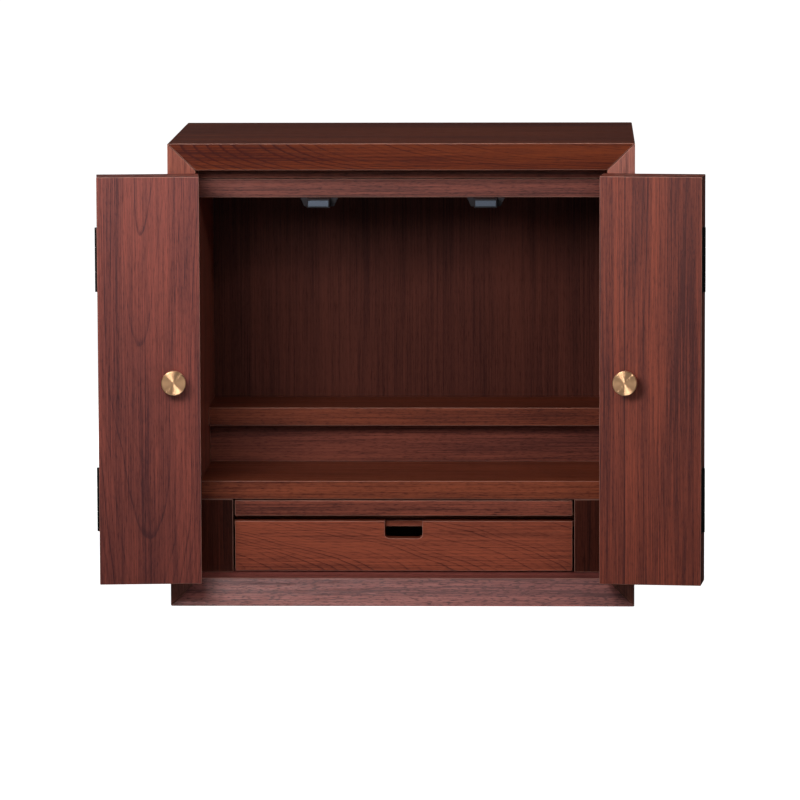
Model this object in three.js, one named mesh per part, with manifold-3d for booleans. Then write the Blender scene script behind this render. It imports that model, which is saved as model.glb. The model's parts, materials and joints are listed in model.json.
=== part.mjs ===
// Tabletop household altar cabinet in walnut, in millimetres, +Z up, front towards -Y.
// The origin is the centre of the case's underside. The folding doors stand open.
import * as THREE from "three";
import { mergeVertices } from "three/addons/utils/BufferGeometryUtils.js";
import Module from "manifold-3d";

// Case: four mitred boards with a front face that slopes back to the opening
const CASE_WIDTH = 450;
const CASE_HEIGHT = 450;
const CASE_DEPTH = 290;
const CASE_BOARD = 26.5;
const BEVEL_DEPTH = 8;
const MITRE_GAP = 0.15;
const GLUE_GAP = 0.15;
const BACK_THICKNESS = 6;
const BACK_INSET = 16.5;
const BACK_GROOVE = 5;

// Folding doors: a jamb panel and a centre panel on each side
const PANEL_THICKNESS = 18;
const DOOR_RECESS = 0.2;
const JAMB_GAP = 1;
const FOLD_GAP = 1;
const MEETING_GAP = 1;
const DOOR_END_GAP = 2;
const FOLDED_FACE_GAP = 1.6;
const HALF_TURN = 180; // degrees
const LEFT_SHORT_OF_FLAT = 4.9; // degrees by which the open pair stays short of a half turn
const RIGHT_SHORT_OF_FLAT = 6.3;
const PIVOT_INBOARD = 2; // jamb pivot, measured from the jamb face
const PIVOT_FORWARD = 6.6; // jamb pivot, in front of the closed door's face

// Butt hinges, two on each jamb and two on each fold
const HINGE_LENGTH = 62;
const HINGE_FROM_DOOR_END = 80.5; // panel end to hinge centre
const LEAF_THICKNESS = 1.2;
const LEAF_REACH = 16;
const JAMB_BARREL_RADIUS = 2.3;
const FOLD_BARREL_RADIUS = 1.5;
const JAMB_PIN_RADIUS = 1;
const FOLD_PIN_RADIUS = 0.7;
const PIN_CLEARANCE = 0.15;
const KNUCKLE_GAP = 0.3;
const OUTER_KNUCKLE = 19;
const SEAT_GAP = 0.2; // between a leaf and its mortise
const BARREL_CLEARANCE = 0.5;

// Interior boards
const SHELF_THICKNESS = 18;
const INTERIOR_CLEARANCE = 1.2; // between the folded pair swung inside and the interior's front
const RISER_HEIGHT = 38.9;
const RISER_THICKNESS = 15;
const UPPER_SHELF_DEPTH = 95.5;
const UPPER_SHELF_OVERHANG = 21;
const CEILING_STRIP_HEIGHT = 10.8;
const CEILING_STRIP_DEPTH = 18;
const CEILING_STRIP_SETBACK = 1;
const CEILING_LINE = 0.5;

// Drawer, pull-out tray and the bay that holds them
const FILLER_WIDTH = 31.7;
const DRAWER_REAR_GAP = 8; // from the drawer's end to the end of the guides
const DRAWER_FRONT_HEIGHT = 49.2;
const DRAWER_FRONT_THICKNESS = 15;
const DRAWER_LIFT = 1.1;
const DRAWER_SIDE_THICKNESS = 10;
const DRAWER_SIDE_INSET = 1.5;
const DRAWER_BOTTOM_THICKNESS = 4;
const DRAWER_BOX_LIFT = 0.5; // box bottom above the front board's lower edge
const DRAWER_BOX_CLEARANCE = 1.5; // box rim below the divider
const NOTCH_WIDTH = 36.6;
const NOTCH_DEPTH = 17.1;
const NOTCH_RADIUS = 4.5;
const FINGER_GAP = 5.3;
const TRAY_THICKNESS = 15;
const TRAY_REAR_GAP = 18;
const TRAY_TOP_GAP = 1.2;
const BAY_SIDE_GAP = 1.8;
const BAY_REAR_GAP = 12.5; // from the end of the guides to the back panel
const FILLER_DEPTH = 18;
const GUIDE_THICKNESS = 12;
const DIVIDER_THICKNESS = 12;
const DIVIDER_GAP = 0.8;
const DIVIDER_SETBACK = 1.5;
const DIVIDER_LIP_HEIGHT = 6.2; // the front lip under the rebate
const DIVIDER_REBATE = 16; // how far the rebate above the lip runs back

// Knobs, catches and strike plates
const KNOB_DIAMETER = 23.5;
const KNOB_PROJECTION = 18;
const KNOB_FROM_FREE_EDGE = 26;
const KNOB_STEM_RADIUS = 5;
const KNOB_BASE_RADIUS = 7.5;
const KNOB_HEAD_THICKNESS = 5.5;
const CATCH_FROM_FOLD = 18; // fold axis to the catch's centre
const CATCH_BODY_WIDTH = 22;
const CATCH_WIDTH = 37;
const CATCH_HEIGHT = 8.8;
const CATCH_EAR_SLOPE = 4;
const CATCH_EAR_DEPTH = 14;
const MAGNET_WIDTH = 20;
const MAGNET_HEIGHT = 5.6;
const MAGNET_THICKNESS = 1;
const MAGNET_GAP = 0.3;
const STRIKE_WIDTH = 24;
const STRIKE_HEIGHT = 12;
const STRIKE_THICKNESS = 1;
const STRIKE_GAP = 0.05;

const ROUND_SIDES = 16;
const KNOB_SIDES = 40;
const NOTCH_ARC_STEPS = 6;
const CUT_MARGIN = 2; // how far a cutter runs past the wood it cuts

// Heights and depths that follow from the sizes above; a depth is measured back from the case's front
const FRONT_Y = -CASE_DEPTH / 2;
const INNER_HALF = CASE_WIDTH / 2 - CASE_BOARD;
const FLOOR_Z = CASE_BOARD;
const CEILING_Z = CASE_HEIGHT - CASE_BOARD;
const BACK_FACE = CASE_DEPTH - BACK_INSET - BACK_THICKNESS;
const DOOR_FACE = BEVEL_DEPTH + DOOR_RECESS;
const DOOR_INNER_FACE = DOOR_FACE + PANEL_THICKNESS;
const FOLD_AXIS_DEPTH = DOOR_INNER_FACE + FOLDED_FACE_GAP / 2;
const INTERIOR_FRONT = DOOR_FACE + 2 * PANEL_THICKNESS + FOLDED_FACE_GAP + INTERIOR_CLEARANCE;
const DRAWER_BOTTOM_Z = FLOOR_Z + DRAWER_LIFT;
const DRAWER_TOP_Z = DRAWER_BOTTOM_Z + DRAWER_FRONT_HEIGHT;
const TRAY_Z = DRAWER_TOP_Z + FINGER_GAP;
const LOWER_SHELF_Z = TRAY_Z + TRAY_THICKNESS + TRAY_TOP_GAP;
const LOWER_SHELF_TOP = LOWER_SHELF_Z + SHELF_THICKNESS;
const UPPER_SHELF_Z = LOWER_SHELF_TOP + RISER_HEIGHT;
const UPPER_SHELF_FRONT = BACK_FACE - UPPER_SHELF_DEPTH;
const DIVIDER_TOP = TRAY_Z - DIVIDER_GAP;
const DIVIDER_Z = DIVIDER_TOP - DIVIDER_THICKNESS;
const CEILING_BOARD_TOP = CEILING_Z - CEILING_STRIP_HEIGHT - CEILING_LINE;
const CEILING_BOARD_Z = CEILING_BOARD_TOP - SHELF_THICKNESS;
const BAY_HALF = INNER_HALF - FILLER_WIDTH;
const BAY_END = BACK_FACE - BAY_REAR_GAP;
const DRAWER_HALF = BAY_HALF - BAY_SIDE_GAP;
const DOOR_Z = FLOOR_Z + DOOR_END_GAP;
const DOOR_TOP_Z = CEILING_Z - DOOR_END_GAP;
const PANEL_WIDTH = (2 * INNER_HALF - 2 * JAMB_GAP - 2 * FOLD_GAP - MEETING_GAP) / 4;
const HINGE_HEIGHTS = { lower: DOOR_Z + HINGE_FROM_DOOR_END, upper: DOOR_TOP_Z - HINGE_FROM_DOOR_END };
const PIVOT_DEPTH = DOOR_FACE - PIVOT_FORWARD;
const LEAF_BACK = DOOR_FACE + LEAF_REACH;
const STRIKE_Z = CEILING_BOARD_Z - CATCH_HEIGHT / 2;

// Positions across a panel, from the jamb face towards the middle of the opening
const JAMB_PANEL_START = JAMB_GAP;
const JAMB_PANEL_END = JAMB_GAP + PANEL_WIDTH;
const FOLD_AXIS_ACROSS = JAMB_PANEL_END + FOLD_GAP / 2;
const CENTRE_PANEL_START = JAMB_PANEL_END + FOLD_GAP;
const CENTRE_PANEL_END = CENTRE_PANEL_START + PANEL_WIDTH;
const CATCH_ACROSS = FOLD_AXIS_ACROSS + CATCH_FROM_FOLD;

const walnut = (color) => ({ color, roughness: 0.45, metalness: 0 });
const FINISH = {
  face: walnut(0x7d463c),
  interior: walnut(0x4a2820),
  drawerBox: walnut(0xb08a62),
  brass: { color: 0xc99a62, roughness: 0.28, metalness: 1 },
  black: { color: 0x0b0a0b, roughness: 0.5, metalness: 0.6 },
  catchBody: { color: 0x4a4a4e, roughness: 0.55, metalness: 0 },
  steel: { color: 0xb9bcc4, roughness: 0.35, metalness: 1 },
};

const wasm = await Module();
wasm.setup();

function toSolid(geometry) {
  const bare = geometry.clone();
  bare.deleteAttribute("normal");
  bare.deleteAttribute("uv");
  const merged = mergeVertices(bare, 1e-4);
  const mesh = new wasm.Mesh({
    numProp: 3,
    vertProperties: new Float32Array(merged.attributes.position.array),
    triVerts: new Uint32Array(merged.index.array),
  });
  return new wasm.Manifold(mesh);
}

function toGeometry(solid) {
  const mesh = solid.getMesh();
  const geometry = new THREE.BufferGeometry();
  geometry.setAttribute("position", new THREE.BufferAttribute(mesh.vertProperties, 3));
  geometry.setIndex(new THREE.BufferAttribute(mesh.triVerts, 1));
  return geometry;
}

function named(name, geometry, finish) {
  const shape = geometry.isBufferGeometry ? geometry : toGeometry(geometry);
  shape.computeVertexNormals();
  const mesh = new THREE.Mesh(shape, new THREE.MeshStandardMaterial(finish));
  mesh.name = name;
  return mesh;
}

// A box between two depths and two heights
function block(x0, x1, depth0, depth1, z0, z1) {
  const box = new THREE.BoxGeometry(Math.abs(x1 - x0), depth1 - depth0, z1 - z0);
  return box.translate((x0 + x1) / 2, FRONT_Y + (depth0 + depth1) / 2, (z0 + z1) / 2);
}

const solidBlock = (...sizes) => toSolid(block(...sizes));

function uprightCylinder(x, depth, radius, z0, z1) {
  const cylinder = new THREE.CylinderGeometry(radius, radius, z1 - z0, ROUND_SIDES);
  cylinder.rotateX(Math.PI / 2);
  return toSolid(cylinder.translate(x, FRONT_Y + depth, (z0 + z1) / 2));
}

// Distance from a jamb face towards the middle, as an X; side is -1 on the left and 1 on the right
const across = (side, distance) => side * (INNER_HALF - distance);
const sideBlock = (side, a, b, ...rest) => solidBlock(across(side, a), across(side, b), ...rest);

// One mitred board: a box whose inner side is shorter by the mitres and set back by the bevel
function mitredBoard(length) {
  const board = new THREE.BoxGeometry(1, 1, 1);
  const corner = board.attributes.position;
  for (let i = 0; i < corner.count; i += 1) {
    const outer = corner.getZ(i) > 0;
    const front = corner.getY(i) < 0;
    const half = length / 2 - MITRE_GAP - (outer ? 0 : CASE_BOARD);
    corner.setX(i, Math.sign(corner.getX(i)) * half);
    corner.setY(i, front ? FRONT_Y + (outer ? 0 : BEVEL_DEPTH) : CASE_DEPTH / 2);
    corner.setZ(i, outer ? 0 : -CASE_BOARD);
  }
  return board;
}

// Depth and height of the mortise that a hinge leaf lies in
function leafCutter(side, from, to, depth0, depth1, centre) {
  const half = HINGE_LENGTH / 2 + SEAT_GAP;
  return sideBlock(side, from, to, depth0, depth1, centre - half, centre + half);
}

function makeCase() {
  const group = new THREE.Group();
  const grooved = INNER_HALF + BACK_GROOVE;
  const grooveCutter = solidBlock(
    -grooved - GLUE_GAP, grooved + GLUE_GAP,
    BACK_FACE - GLUE_GAP, BACK_FACE + BACK_THICKNESS + GLUE_GAP,
    FLOOR_Z - BACK_GROOVE - GLUE_GAP, CEILING_Z + BACK_GROOVE + GLUE_GAP,
  );
  const boards = [
    ["case_top", CASE_WIDTH, 0, [0, 0, CASE_HEIGHT], 0],
    ["case_right", CASE_HEIGHT, Math.PI / 2, [CASE_WIDTH / 2, 0, CASE_HEIGHT / 2], 1],
    ["case_bottom", CASE_WIDTH, Math.PI, [0, 0, 0], 0],
    ["case_left", CASE_HEIGHT, -Math.PI / 2, [-CASE_WIDTH / 2, 0, CASE_HEIGHT / 2], -1],
  ];
  for (const [name, length, turn, place, side] of boards) {
    const geometry = mitredBoard(length).rotateY(turn).translate(...place);
    let board = toSolid(geometry).subtract(grooveCutter);
    for (const centre of side ? Object.values(HINGE_HEIGHTS) : []) {
      const deep = LEAF_THICKNESS + SEAT_GAP;
      const cutter = leafCutter(side, -deep, CUT_MARGIN, -CUT_MARGIN, LEAF_BACK + SEAT_GAP, centre);
      board = board.subtract(cutter);
    }
    group.add(named(name, board, FINISH.face));
  }
  group.add(named("back_panel", block(
    -grooved, grooved, BACK_FACE, BACK_FACE + BACK_THICKNESS,
    FLOOR_Z - BACK_GROOVE, CEILING_Z + BACK_GROOVE,
  ), FINISH.interior));
  return group;
}

function makeShelves() {
  const group = new THREE.Group();
  const half = INNER_HALF - GLUE_GAP;
  const rear = BACK_FACE - 2 * GLUE_GAP;
  const boards = {
    ceiling_board: [INTERIOR_FRONT, rear, CEILING_BOARD_Z, CEILING_BOARD_TOP],
    ceiling_strip: [
      INTERIOR_FRONT + CEILING_STRIP_SETBACK,
      INTERIOR_FRONT + CEILING_STRIP_SETBACK + CEILING_STRIP_DEPTH,
      CEILING_BOARD_TOP + CEILING_LINE,
      CEILING_Z - GLUE_GAP,
    ],
    upper_shelf: [UPPER_SHELF_FRONT, rear, UPPER_SHELF_Z, UPPER_SHELF_Z + SHELF_THICKNESS],
    riser: [
      UPPER_SHELF_FRONT + UPPER_SHELF_OVERHANG,
      UPPER_SHELF_FRONT + UPPER_SHELF_OVERHANG + RISER_THICKNESS,
      LOWER_SHELF_TOP + GLUE_GAP,
      UPPER_SHELF_Z - GLUE_GAP,
    ],
    lower_shelf: [INTERIOR_FRONT, rear, LOWER_SHELF_Z, LOWER_SHELF_TOP],
  };
  for (const [name, sizes] of Object.entries(boards)) {
    group.add(named(name, block(-half, half, ...sizes), FINISH.face));
  }
  return group;
}

// Fillers, guides and divider: the bay in which the drawer and the tray slide
function makeBay() {
  const group = new THREE.Group();
  const z0 = FLOOR_Z + GLUE_GAP;
  const z1 = LOWER_SHELF_Z - GLUE_GAP;
  const guideStart = INTERIOR_FRONT + FILLER_DEPTH + GLUE_GAP;
  for (const [label, side] of [["left", -1], ["right", 1]]) {
    const inner = side * BAY_HALF;
    const wall = side * (INNER_HALF - GLUE_GAP);
    const filler = block(inner, wall, INTERIOR_FRONT, INTERIOR_FRONT + FILLER_DEPTH, z0, z1);
    const guide = block(inner, inner + side * GUIDE_THICKNESS, guideStart, BAY_END, z0, z1);
    group.add(named(`${label}_filler`, filler, FINISH.face));
    group.add(named(`${label}_drawer_guide`, guide, FINISH.interior));
  }
  const front = INTERIOR_FRONT + DRAWER_FRONT_THICKNESS + DIVIDER_SETBACK;
  const half = BAY_HALF - GLUE_GAP;
  const rebate = solidBlock(
    -half - CUT_MARGIN, half + CUT_MARGIN, front - CUT_MARGIN, front + DIVIDER_REBATE,
    DIVIDER_Z + DIVIDER_LIP_HEIGHT, DIVIDER_TOP + CUT_MARGIN,
  );
  const divider = solidBlock(-half, half, front, BAY_END, DIVIDER_Z, DIVIDER_TOP).subtract(rebate);
  group.add(named("bay_divider", divider, FINISH.face));
  return group;
}

// The drawer front with its round-cornered finger notch, drawn from the front
function drawerFront() {
  const half = DRAWER_HALF;
  const notch = NOTCH_WIDTH / 2;
  const floor = DRAWER_FRONT_HEIGHT - NOTCH_DEPTH;
  const outline = new THREE.Shape();
  outline.moveTo(-half, 0);
  outline.lineTo(half, 0);
  outline.lineTo(half, DRAWER_FRONT_HEIGHT);
  outline.lineTo(notch, DRAWER_FRONT_HEIGHT);
  outline.lineTo(notch, floor + NOTCH_RADIUS);
  outline.absarc(notch - NOTCH_RADIUS, floor + NOTCH_RADIUS, NOTCH_RADIUS, 0, -Math.PI / 2, true);
  outline.absarc(NOTCH_RADIUS - notch, floor + NOTCH_RADIUS, NOTCH_RADIUS, -Math.PI / 2, -Math.PI, true);
  outline.lineTo(-notch, DRAWER_FRONT_HEIGHT);
  outline.lineTo(-half, DRAWER_FRONT_HEIGHT);
  const board = new THREE.ExtrudeGeometry(outline, {
    depth: DRAWER_FRONT_THICKNESS,
    bevelEnabled: false,
    curveSegments: NOTCH_ARC_STEPS,
  });
  board.rotateX(Math.PI / 2);
  const back = FRONT_Y + INTERIOR_FRONT + DRAWER_FRONT_THICKNESS;
  return board.translate(0, back, DRAWER_BOTTOM_Z);
}

function makeDrawer() {
  const group = new THREE.Group();
  const half = DRAWER_HALF - DRAWER_SIDE_INSET;
  const inside = half - DRAWER_SIDE_THICKNESS;
  const start = INTERIOR_FRONT + DRAWER_FRONT_THICKNESS + GLUE_GAP;
  const end = BAY_END - DRAWER_REAR_GAP;
  const bottom = DRAWER_BOTTOM_Z + DRAWER_BOX_LIFT;
  const wallZ = bottom + DRAWER_BOTTOM_THICKNESS + GLUE_GAP;
  const rim = DIVIDER_Z - DRAWER_BOX_CLEARANCE;
  const backStart = end - DRAWER_SIDE_THICKNESS;
  group.add(named("drawer_front", toSolid(drawerFront()), FINISH.face));
  group.add(named("drawer_bottom", block(-half, half, start, end, bottom, wallZ - GLUE_GAP), FINISH.drawerBox));
  for (const [label, side] of [["left", -1], ["right", 1]]) {
    const wall = block(side * half, side * inside, start, end, wallZ, rim);
    group.add(named(`drawer_${label}_side`, wall, FINISH.drawerBox));
  }
  const width = inside - GLUE_GAP;
  group.add(named("drawer_back", block(-width, width, backStart, end, wallZ, rim), FINISH.drawerBox));
  return group;
}

function makeTray() {
  const end = BAY_END - TRAY_REAR_GAP;
  const board = block(
    -DRAWER_HALF, DRAWER_HALF, INTERIOR_FRONT, end, TRAY_Z, TRAY_Z + TRAY_THICKNESS,
  );
  return named("tray_board", board, FINISH.face);
}

// Catch: an eared body under the ceiling board, its block reaching forward to the closed door
function makeCatches() {
  const group = new THREE.Group();
  const magnetFront = DOOR_INNER_FACE + STRIKE_THICKNESS + MAGNET_GAP;
  const bodyFront = magnetFront + MAGNET_THICKNESS + GLUE_GAP;
  const earFront = INTERIOR_FRONT + GLUE_GAP;
  const top = CEILING_BOARD_Z - GLUE_GAP;
  const bottom = top - CATCH_HEIGHT;
  const wide = CATCH_WIDTH / 2;
  const narrow = wide - CATCH_EAR_SLOPE;
  for (const [label, side] of [["left", -1], ["right", 1]]) {
    const centre = across(side, CATCH_ACROSS);
    const outline = new THREE.Shape([
      new THREE.Vector2(centre - narrow, bottom),
      new THREE.Vector2(centre + narrow, bottom),
      new THREE.Vector2(centre + wide, top),
      new THREE.Vector2(centre - wide, top),
    ]);
    const ears = new THREE.ExtrudeGeometry(outline, { depth: CATCH_EAR_DEPTH, bevelEnabled: false });
    ears.rotateX(Math.PI / 2).translate(0, FRONT_Y + earFront + CATCH_EAR_DEPTH, 0);
    const body = [-1, 1].map((way) => centre + (way * CATCH_BODY_WIDTH) / 2);
    const rear = earFront + CATCH_EAR_DEPTH / 2;
    const nose = solidBlock(...body, bodyFront, rear, bottom, top);
    group.add(named(`${label}_catch_body`, toSolid(ears).add(nose), FINISH.catchBody));
    const magnet = block(
      centre - MAGNET_WIDTH / 2, centre + MAGNET_WIDTH / 2,
      magnetFront, magnetFront + MAGNET_THICKNESS,
      (top + bottom - MAGNET_HEIGHT) / 2, (top + bottom + MAGNET_HEIGHT) / 2,
    );
    group.add(named(`${label}_catch_magnet`, magnet, FINISH.steel));
  }
  return group;
}

// Heights of a hinge's knuckles: outer ones on the fixed leaf, the middle one on the moving leaf
function knuckleSpans(centre) {
  const low = centre - HINGE_LENGTH / 2;
  const high = centre + HINGE_LENGTH / 2;
  return {
    outer: [[low, low + OUTER_KNUCKLE], [high - OUTER_KNUCKLE, high]],
    middle: [[low + OUTER_KNUCKLE + KNUCKLE_GAP, high - OUTER_KNUCKLE - KNUCKLE_GAP]],
    whole: [low, high],
  };
}

// One hinge leaf: a plate, the knuckles it carries, and either the pin or the bore for it
function hingeLeaf(side, hinge, centre, carriesPin) {
  const spans = knuckleSpans(centre);
  const x = across(side, hinge.axisAcross);
  const plate = carriesPin ? hinge.fixedPlate : hinge.movingPlate;
  let leaf = sideBlock(side, ...plate.across, ...plate.depth, ...spans.whole);
  for (const [z0, z1] of carriesPin ? spans.outer : spans.middle) {
    const knuckle = uprightCylinder(x, hinge.axisDepth, hinge.radius, z0, z1);
    const web = sideBlock(side, ...plate.across, ...plate.webDepth, z0, z1);
    leaf = leaf.add(knuckle).add(web);
    if (plate.bridge) {
      leaf = leaf.add(sideBlock(side, ...plate.bridge.across, ...plate.bridge.depth, z0, z1));
    }
  }
  const pinRadius = hinge.pin + (carriesPin ? 0 : PIN_CLEARANCE);
  const [low, high] = spans.whole;
  const pin = uprightCylinder(x, hinge.axisDepth, pinRadius, low, high);
  return carriesPin ? leaf.add(pin) : leaf.subtract(pin);
}

// Jamb hinge: its barrel stands in front of the bevelled frame, so the pair can lie back beside the case
const JAMB_HINGE = {
  axisAcross: PIVOT_INBOARD,
  axisDepth: PIVOT_DEPTH,
  radius: JAMB_BARREL_RADIUS,
  pin: JAMB_PIN_RADIUS,
  fixedPlate: {
    across: [-LEAF_THICKNESS, 0],
    depth: [PIVOT_DEPTH + JAMB_BARREL_RADIUS + BARREL_CLEARANCE, LEAF_BACK],
    webDepth: [PIVOT_DEPTH - JAMB_PIN_RADIUS, PIVOT_DEPTH + JAMB_BARREL_RADIUS + BARREL_CLEARANCE],
    bridge: {
      across: [-LEAF_THICKNESS, PIVOT_INBOARD],
      depth: [PIVOT_DEPTH - JAMB_PIN_RADIUS, PIVOT_DEPTH + JAMB_PIN_RADIUS],
    },
  },
  movingPlate: {
    across: [JAMB_GAP, JAMB_GAP + LEAF_THICKNESS],
    depth: [PIVOT_DEPTH + JAMB_BARREL_RADIUS + BARREL_CLEARANCE, LEAF_BACK],
    webDepth: [PIVOT_DEPTH, PIVOT_DEPTH + JAMB_BARREL_RADIUS + BARREL_CLEARANCE],
  },
};

// Fold hinge: its barrel lies between the inner faces, at the far end of the folded pair
const FOLD_HINGE = {
  axisAcross: FOLD_AXIS_ACROSS,
  axisDepth: FOLD_AXIS_DEPTH,
  radius: FOLD_BARREL_RADIUS,
  pin: FOLD_PIN_RADIUS,
  fixedPlate: {
    across: [JAMB_PANEL_END - LEAF_THICKNESS, JAMB_PANEL_END],
    depth: [DOOR_INNER_FACE - LEAF_REACH, FOLD_AXIS_DEPTH - FOLD_BARREL_RADIUS - BARREL_CLEARANCE],
    webDepth: [FOLD_AXIS_DEPTH - FOLD_BARREL_RADIUS - BARREL_CLEARANCE, FOLD_AXIS_DEPTH],
  },
  movingPlate: {
    across: [CENTRE_PANEL_START, CENTRE_PANEL_START + LEAF_THICKNESS],
    depth: [DOOR_INNER_FACE - LEAF_REACH, FOLD_AXIS_DEPTH - FOLD_BARREL_RADIUS - BARREL_CLEARANCE],
    webDepth: [FOLD_AXIS_DEPTH - FOLD_BARREL_RADIUS - BARREL_CLEARANCE, FOLD_AXIS_DEPTH],
  },
};

// A door panel with the mortises of its hinge leaves
function doorPanel(side, from, to, mortises) {
  let panel = sideBlock(side, from, to, DOOR_FACE, DOOR_INNER_FACE, DOOR_Z, DOOR_TOP_Z);
  for (const centre of Object.values(HINGE_HEIGHTS)) {
    for (const { across: [a, b], depth: [d0, d1], barrel } of mortises) {
      panel = panel.subtract(leafCutter(side, a, b, d0, d1, centre));
      if (barrel) {
        const half = HINGE_LENGTH / 2 + SEAT_GAP;
        const room = barrel.radius + BARREL_CLEARANCE;
        const x = across(side, barrel.axisAcross);
        const cutter = uprightCylinder(x, barrel.axisDepth, room, centre - half, centre + half);
        panel = panel.subtract(cutter);
      }
    }
  }
  return panel;
}

const mortiseDepth = LEAF_THICKNESS + SEAT_GAP;
const JAMB_MORTISE = {
  across: [JAMB_PANEL_START - CUT_MARGIN, JAMB_PANEL_START + mortiseDepth],
  depth: [DOOR_FACE - CUT_MARGIN, LEAF_BACK + SEAT_GAP],
};
const foldMortiseDepth = [DOOR_INNER_FACE - LEAF_REACH - SEAT_GAP, DOOR_INNER_FACE + CUT_MARGIN];
const FOLD_MORTISE_FIXED = {
  across: [JAMB_PANEL_END - mortiseDepth, JAMB_PANEL_END + CUT_MARGIN],
  depth: foldMortiseDepth,
  barrel: FOLD_HINGE,
};
const FOLD_MORTISE_MOVING = {
  across: [CENTRE_PANEL_START - CUT_MARGIN, CENTRE_PANEL_START + mortiseDepth],
  depth: foldMortiseDepth,
  barrel: FOLD_HINGE,
};

// Turned brass knob: foot, waist and a flat head with a small bevelled rim
function knob() {
  const head = KNOB_DIAMETER / 2;
  const headBack = KNOB_PROJECTION - KNOB_HEAD_THICKNESS;
  const rim = 1;
  const profile = [
    [0, 0],
    [KNOB_BASE_RADIUS, 0],
    [KNOB_BASE_RADIUS, 1.2],
    [KNOB_STEM_RADIUS + 0.8, 2.6],
    [KNOB_STEM_RADIUS, 4.5],
    [KNOB_STEM_RADIUS + 0.4, headBack - 4],
    [KNOB_STEM_RADIUS + 2.4, headBack - 1.4],
    [head - rim, headBack],
    [head, headBack + rim],
    [head, KNOB_PROJECTION - rim],
    [head - rim, KNOB_PROJECTION],
    [0, KNOB_PROJECTION],
  ].map(([radius, height]) => new THREE.Vector2(radius, height));
  return new THREE.LatheGeometry(profile, KNOB_SIDES).rotateX(Math.PI);
}

function makeDoors() {
  const group = new THREE.Group();
  const pairs = [
    { label: "left", side: -1, open: LEFT_SHORT_OF_FLAT - HALF_TURN, fold: HALF_TURN },
    { label: "right", side: 1, open: HALF_TURN - RIGHT_SHORT_OF_FLAT, fold: -HALF_TURN },
  ];
  for (const { label, side, open, fold } of pairs) {
    const pivot = new THREE.Vector3(across(side, PIVOT_INBOARD), FRONT_Y + PIVOT_DEPTH, 0);
    const foldAxis = new THREE.Vector3(across(side, FOLD_AXIS_ACROSS), FRONT_Y + FOLD_AXIS_DEPTH, 0);

    // Everything is shaped closed, then turned about the jamb pivot and folded about the fold axis
    const pair = new THREE.Group();
    pair.position.copy(pivot);
    pair.rotation.z = THREE.MathUtils.degToRad(open);
    const centreGroup = new THREE.Group();
    centreGroup.position.copy(foldAxis).sub(pivot);
    centreGroup.rotation.z = THREE.MathUtils.degToRad(fold);
    pair.add(centreGroup);
    const onJambPanel = (mesh) => {
      mesh.position.copy(pivot).negate();
      pair.add(mesh);
    };
    const onCentrePanel = (mesh) => {
      mesh.position.copy(foldAxis).negate();
      centreGroup.add(mesh);
    };

    onJambPanel(named(`${label}_jamb_panel`, doorPanel(
      side, JAMB_PANEL_START, JAMB_PANEL_END, [JAMB_MORTISE, FOLD_MORTISE_FIXED],
    ), FINISH.face));
    onCentrePanel(named(`${label}_centre_panel`, doorPanel(
      side, CENTRE_PANEL_START, CENTRE_PANEL_END, [FOLD_MORTISE_MOVING],
    ), FINISH.face));

    for (const [height, centre] of Object.entries(HINGE_HEIGHTS)) {
      const jamb = `${label}_${height}_jamb_hinge`;
      const folding = `${label}_${height}_fold_hinge`;
      group.add(named(`${jamb}_case_leaf`, hingeLeaf(side, JAMB_HINGE, centre, true), FINISH.black));
      onJambPanel(named(`${jamb}_door_leaf`, hingeLeaf(side, JAMB_HINGE, centre, false), FINISH.black));
      onJambPanel(named(`${folding}_jamb_leaf`, hingeLeaf(side, FOLD_HINGE, centre, true), FINISH.black));
      onCentrePanel(named(`${folding}_centre_leaf`, hingeLeaf(side, FOLD_HINGE, centre, false), FINISH.black));
    }

    const knobX = across(side, CENTRE_PANEL_END - KNOB_FROM_FREE_EDGE);
    const knobZ = (DOOR_Z + DOOR_TOP_Z) / 2;
    const placed = knob().translate(knobX, FRONT_Y + DOOR_FACE - GLUE_GAP, knobZ);
    onCentrePanel(named(`${label}_knob`, placed, FINISH.brass));

    const strikeX = across(side, CATCH_ACROSS);
    onCentrePanel(named(`${label}_strike_plate`, block(
      strikeX - STRIKE_WIDTH / 2, strikeX + STRIKE_WIDTH / 2,
      DOOR_INNER_FACE + STRIKE_GAP, DOOR_INNER_FACE + STRIKE_THICKNESS,
      STRIKE_Z - STRIKE_HEIGHT / 2, STRIKE_Z + STRIKE_HEIGHT / 2,
    ), FINISH.steel));
    group.add(pair);
  }
  return group;
}

const cabinet = new THREE.Group();
cabinet.add(makeCase(), makeShelves(), makeBay(), makeDrawer(), makeTray(), makeCatches(), makeDoors());

export default cabinet;
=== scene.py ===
"""A tabletop altar cabinet in red-brown walnut, its folding doors standing open.

Metres, +Z up, front towards -Y.
"""
import json
import math

import bmesh
import bpy
from mathutils import Matrix, Vector

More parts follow.
